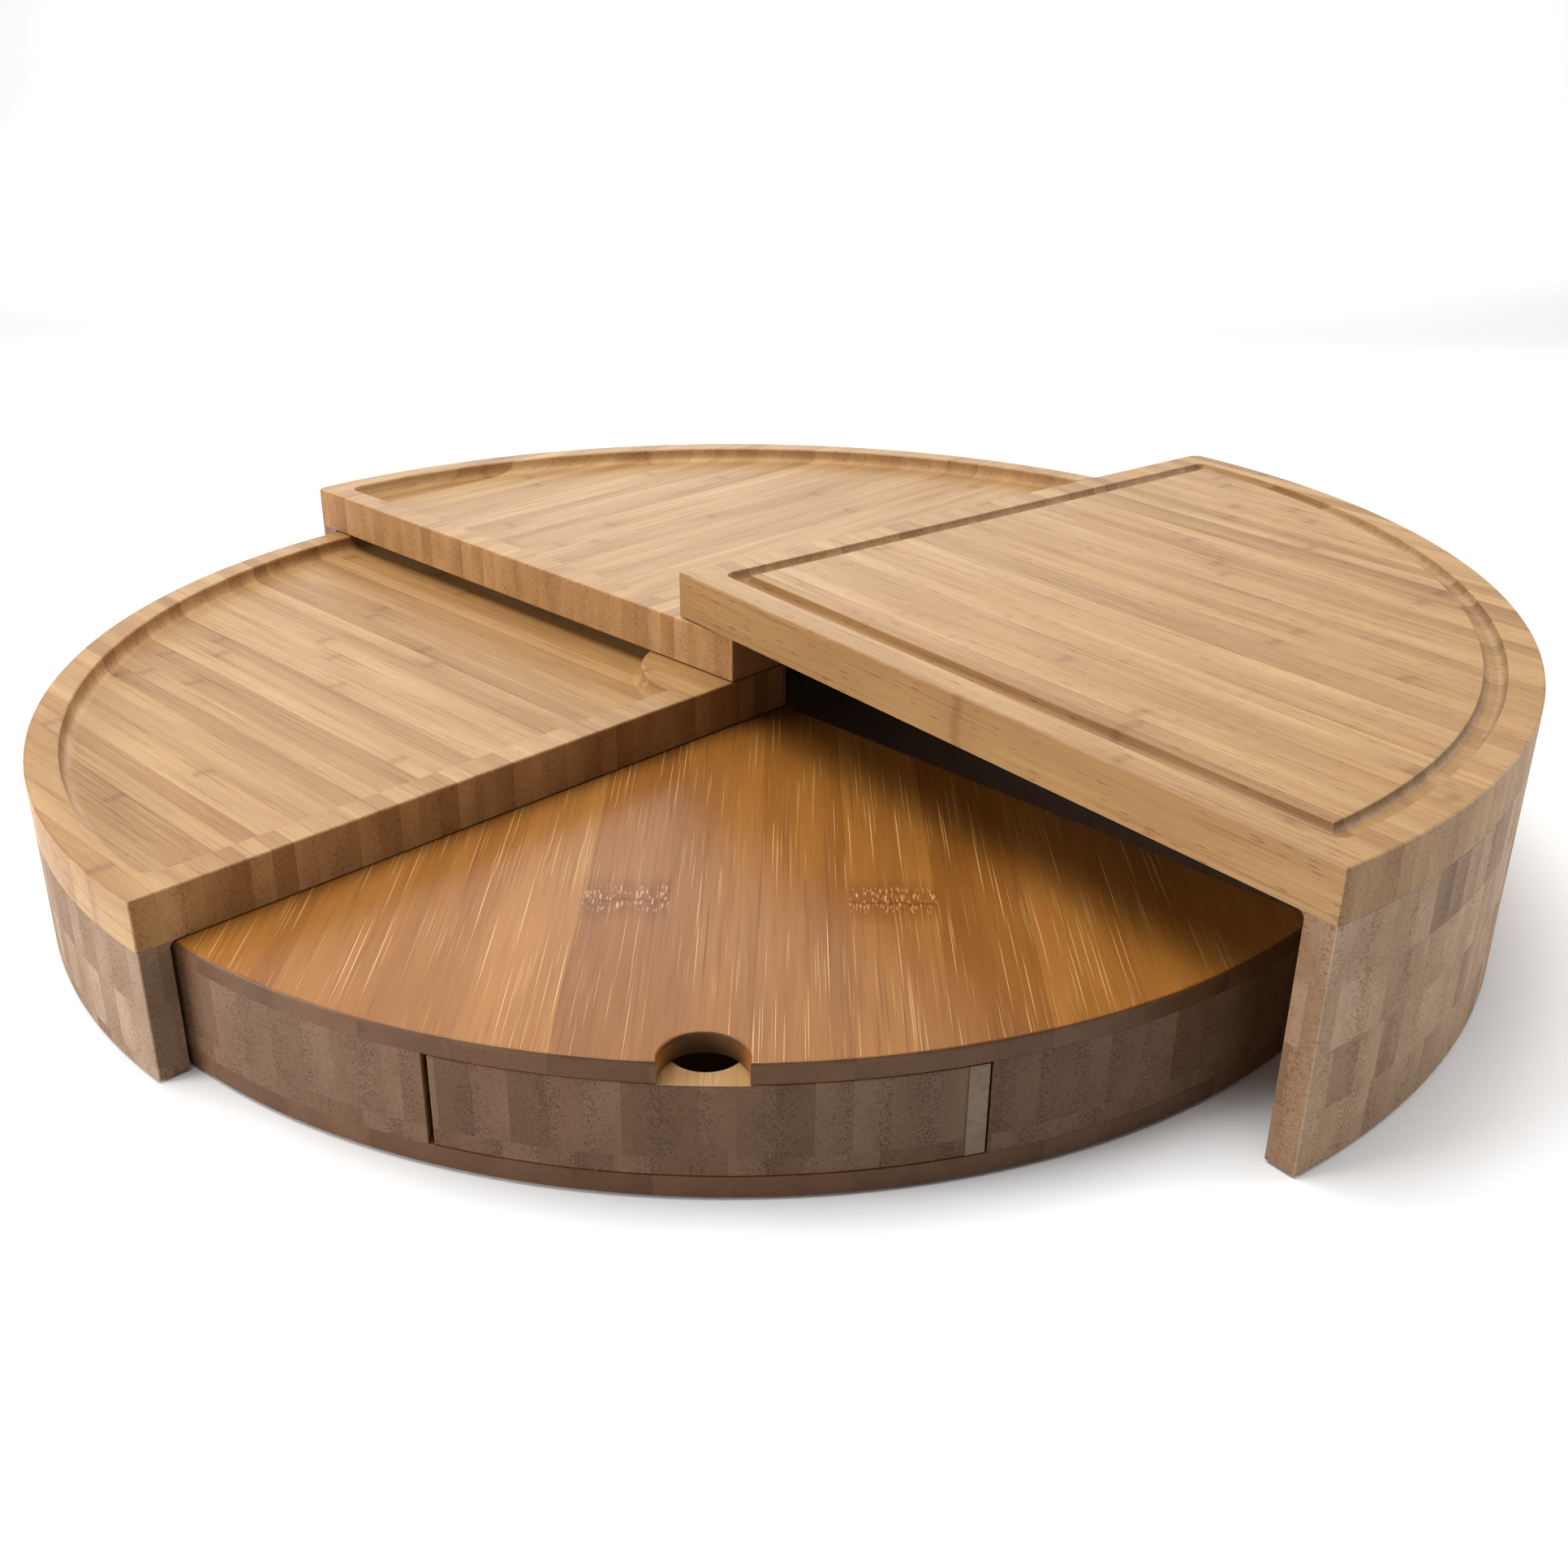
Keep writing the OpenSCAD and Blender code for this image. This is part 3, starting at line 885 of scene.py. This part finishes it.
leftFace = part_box("base_left_block")[1].x
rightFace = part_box("base_right_block")[0].x
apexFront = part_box("base_apex_block")[0].y
makeBottomSheet()
makeCoreBlock("baseLeftBlock", "base_left_block", [crossCut(leftFace, -1)])
makeCoreBlock("baseRightBlock", "base_right_block", [crossCut(rightFace, 1)])
makeCoreBlock("baseApexBlock", "base_apex_block",
              [crossCut(leftFace, 1), crossCut(rightFace, -1), (Vector((0, apexFront, 0)), Vector((0, 1, 0)))],
              bored=True)
makeTopSheet()
makeFeet()
print("base made")


# drawer

drawer = {
    "ease": 0.3 * mm,
    "topRound": 2.0 * mm,        # rounding of the walls' top edges
    "fingerRadius": 9.8 * mm,
    "fingerInset": 16 * mm,
    "fingerDepth": 20 * mm,
    "fingerEase": 0.5 * mm,
    "fingerFillet": 2.5 * mm,
}


def frontBlock(node, cuts):
    low, high = heights(node)
    bm = bmesh.new()
    raiseFace(bm, quarterOutline(bm, baseRadius, board["inset"], baseDirection, low, cuts=cuts), high - low)
    sharp = [e for e in bm.edges if e.is_manifold and e.calc_face_angle() > math.radians(40)]
    easeEdges(bm, sharp, drawer["ease"], segments=2)
    return bm


def makeDrawerFront():
    low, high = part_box("drawer_front")
    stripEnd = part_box("drawer_front_strip")[1].x
    back = (Vector((0, high.y, 0)), Vector((0, -1, 0)))
    bm = frontBlock("drawer_front", [crossCut(low.x, 1), crossCut(high.x, -1), back])

    def holeOutline(hole, growth, z):
        centre = (pivot.x, pivot.y + drawer["fingerInset"] - baseRadius, z)
        bmesh.ops.create_circle(hole, cap_ends=True, segments=72, radius=drawer["fingerRadius"] + growth,
                                matrix=Matrix.Translation(centre))
        return onlyFace(hole)

    profile = recessProfile(drawer["fingerDepth"], drawer["fingerEase"], drawer["fingerFillet"])
    bm = carve(bm, recessBlock(holeOutline, high.z, profile))
    place(bm, "drawerFront", "drawer", ["drawer_front"], "end_grain_bamboo", coreWood)
    strip = frontBlock("drawer_front_strip", [crossCut(high.x, 1), crossCut(stripEnd, -1), back])
    place(strip, "drawerFrontStrip", "drawer", ["drawer_front_strip"], "side_pressed_bamboo", stripWood)


def makeDrawerBoard(name, node, rounded=None):
    # a plain board, with the top edges that run along the rounded direction made rounder
    low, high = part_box(node)
    bm = bmesh.new()
    bmesh.ops.create_cube(bm, size=1.0)
    bmesh.ops.scale(bm, vec=high - low, verts=bm.verts[:])
    bmesh.ops.translate(bm, vec=(low + high) / 2, verts=bm.verts[:])
    slotName = "plain_bamboo"
    if rounded:
        slotName = "side_pressed_bamboo"
        long = [e for e in edgesAt(bm, high.z) if abs((e.verts[0].co - e.verts[1].co).dot(rounded)) > 20 * mm]
        easeEdges(bm, long, drawer["topRound"], segments=5, wear=0.4)
    rest = [e for e in bm.edges if e.calc_face_angle() > math.radians(60)]
    easeEdges(bm, rest, drawer["ease"], segments=2)
    place(bm, name, "drawer", [node], slotName, drawerWood)


makeDrawerFront()
makeDrawerBoard("drawerLeftSide", "drawer_left_side", Vector((0, 1, 0)))
makeDrawerBoard("drawerRightSide", "drawer_right_side", Vector((0, 1, 0)))
makeDrawerBoard("drawerBack", "drawer_back", Vector((1, 0, 0)))
makeDrawerBoard("drawerFloor", "drawer_floor")
print("drawer made")


# pivot

hardware = {
    "steps": 72,
    "washerBore": 4.08 * mm,
    "nylonEase": 0.1 * mm,
    "steelEase": 0.2 * mm,
    "insertBore": 4.02 * mm,
    "insertLead": 1.0 * mm,      # plain length at each end of the insert
    "ridges": 5,
    "ridgeDepth": 0.6 * mm,
    "shank": 4.0 * mm,
    "shankTaper": 0.8 * mm,
    "headHeight": 2.4 * mm,
    "socket": 2.9 * mm,
    "socketDepth": 2.0 * mm,
}


def makeWasher(name, node, body, slotName, material, ease):
    low, high = heights(node)
    inner, outer = hardware["washerBore"], reach(node)
    ring = [(inner + ease, low), (outer - ease, low), (outer, low + ease), (outer, high - ease), (outer - ease, high),
            (inner + ease, high), (inner, high - ease), (inner, low + ease)]
    place(turned(ring, hardware["steps"]), name, body, [node], slotName, material)


def makeInsert():
    low, high = heights("pivot_insert")
    inner, outer = hardware["insertBore"], reach("pivot_insert")
    lead, depth = hardware["insertLead"], hardware["ridgeDepth"]
    pitch = (high - low - 2 * lead) / hardware["ridges"]
    points = [(inner, low), (outer - depth / 2, low), (outer, low + depth / 2), (outer, low + lead)]
    for ridge in range(hardware["ridges"]):
        foot = low + lead + pitch * ridge
        points += [(outer - depth, foot + 0.25 * pitch), (outer, foot + 0.6 * pitch), (outer, foot + 0.8 * pitch)]
    points += [(outer - 0.5 * mm, high), (inner, high)]
    place(turned(points, hardware["steps"]), "pivotInsert", "cutting_board", ["pivot_insert"], "insert_brass", brass)


def makeBolt():
    low, high = heights("pivot_bolt")
    head, shank, taper = reach("pivot_bolt"), hardware["shank"], hardware["shankTaper"]
    headTop = low + hardware["headHeight"]
    dome = [(head - 1.4 * mm, low), (head - 0.5 * mm, low + 0.25 * mm), (head, low + 0.9 * mm)]
    stem = [(head, headTop), (shank, headTop), (shank, high - taper), (shank - taper, high), (0, high)]
    socket = bmesh.new()
    bmesh.ops.create_cone(socket, cap_ends=True, cap_tris=False, segments=6, radius1=hardware["socket"],
                          radius2=hardware["socket"], depth=2 * hardware["socketDepth"],
                          matrix=Matrix.Translation((pivot.x, pivot.y, low)))
    bm = carve(turned([(0, low)] + dome + stem, hardware["steps"]), socket)
    place(bm, "pivotBolt", "cutting_board", ["pivot_bolt"], "bolt_steel", steel)


for name, body in (("baseWasher", "base"), ("leftTrayWasher", "left_tray"), ("backTrayWasher", "back_tray")):
    makeWasher(name, body + "_washer", body, "washer_nylon", nylon, hardware["nylonEase"])
makeWasher("pivotHeadWasher", "pivot_head_washer", "base", "bolt_steel", steel, hardware["steelEase"])
makeInsert()
makeBolt()
print("pivot made")


# floor, lights, camera

studio = {
    "floor": (0.86, 0.86, 0.855),
    "floorReach": 3.0,           # distance from the middle to the floor's edges
    "sweep": 0.8,                # radius of the bend up to the backdrop
    "wallHeight": 2.5,
    "world": (0.93, 0.95, 1.0),
    "worldStrength": 0.25,
    "lights": {
        # place, aim, size, watts
        "topBox": ((-0.30, 0.02, 1.35), (0, 0, 0), 1.1, 24.6),
        "leftBox": ((-0.89, -0.46, 0.24), (-0.05, -0.05, 0.03), 0.4, 7.2),
        "rightBox": ((1.19, 0.19, 0.42), (0, 0, 0.03), 0.7, 10.3),
        "backBox": ((-0.45, 1.55, 0.75), (0, 0, 0.05), 1.2, 3.0),
        "backdropBox": ((0, 1.9, 1.7), (0, 3.8, 0.6), 2.0, 85.0),
    },
}


def makeFloor():
    far, sweep = studio["floorReach"], studio["sweep"]
    bm = bmesh.new()
    bmesh.ops.create_grid(bm, x_segments=1, y_segments=1, size=far)
    edge = next(e for e in bm.edges if all(v.co.y > 0 for v in e.verts))
    strip = bmesh.ops.spin(bm, geom=[edge] + list(edge.verts), cent=(0, far, sweep), axis=(1, 0, 0), angle=math.pi / 2,
                           steps=24, use_duplicate=False)
    top = [g for g in strip["geom_last"] if isinstance(g, bmesh.types.BMEdge)]
    wall = bmesh.ops.extrude_edge_only(bm, edges=top)
    bmesh.ops.translate(bm, verts=vertsOf(wall), vec=(0, 0, studio["wallHeight"]))
    bmesh.ops.recalc_face_normals(bm, faces=bm.faces[:])
    floor = asObject(bm, "studioFloor")
    floor.data.polygons.foreach_set("use_smooth", [True] * len(floor.data.polygons))
    w = Wiring("studioFloorPaint")
    cloud = w.noise(w.coordinates.outputs["Object"], scale=3.0, detail=3.0)
    pale = studio["floor"]
    w.links.new(w.ramp(cloud, ((0.3, tuple(c * 0.985 for c in pale)), (0.7, pale))), w.shader.inputs["Base Color"])
    w.shader.inputs["Roughness"].default_value = 0.9
    floor.data.materials.append(w.material)


def makeLights():
    for name, (spot, aim, size, watts) in studio["lights"].items():
        lamp = bpy.data.lights.new(name, "AREA")
        lamp.shape, lamp.size, lamp.energy = "SQUARE", size, watts
        lampObject = bpy.data.objects.new(name, lamp)
        lampObject.location = spot
        lampObject.rotation_euler = (Vector(aim) - Vector(spot)).to_track_quat("-Z", "Y").to_euler()
        lampObject.visible_camera = False
        scene.collection.objects.link(lampObject)
    world = bpy.data.worlds.new("studioAir")
    world.use_nodes = True
    air = world.node_tree.nodes["Background"]
    air.inputs["Color"].default_value = (*studio["world"], 1)
    air.inputs["Strength"].default_value = studio["worldStrength"]
    scene.world = world


view = {
    "spot": Vector((6.4, -578.5, 277.2)) * mm,
    "aim": Vector((-4.5, -48.8, 20.0)) * mm,
    "roll": 0.18,
    "lens": 39.2,
    "shift": (0.0197, 0.0122),
    "clip": (0.02, 30.0),
}


def makeCamera():
    lens = bpy.data.cameras.new("studioCamera")
    lens.sensor_width, lens.lens = 36.0, view["lens"]
    lens.shift_x, lens.shift_y = view["shift"]
    lens.clip_start, lens.clip_end = view["clip"]
    camera = bpy.data.objects.new("studioCamera", lens)
    look = (view["aim"] - view["spot"]).to_track_quat("-Z", "Y").to_matrix().to_4x4()
    roll = Matrix.Rotation(math.radians(view["roll"]), 4, "Z")
    camera.matrix_world = Matrix.Translation(view["spot"]) @ look @ roll
    scene.collection.objects.link(camera)
    scene.camera = camera


makeFloor()
makeLights()
makeCamera()
scene.view_settings.view_transform = "Standard"
print("studio made")
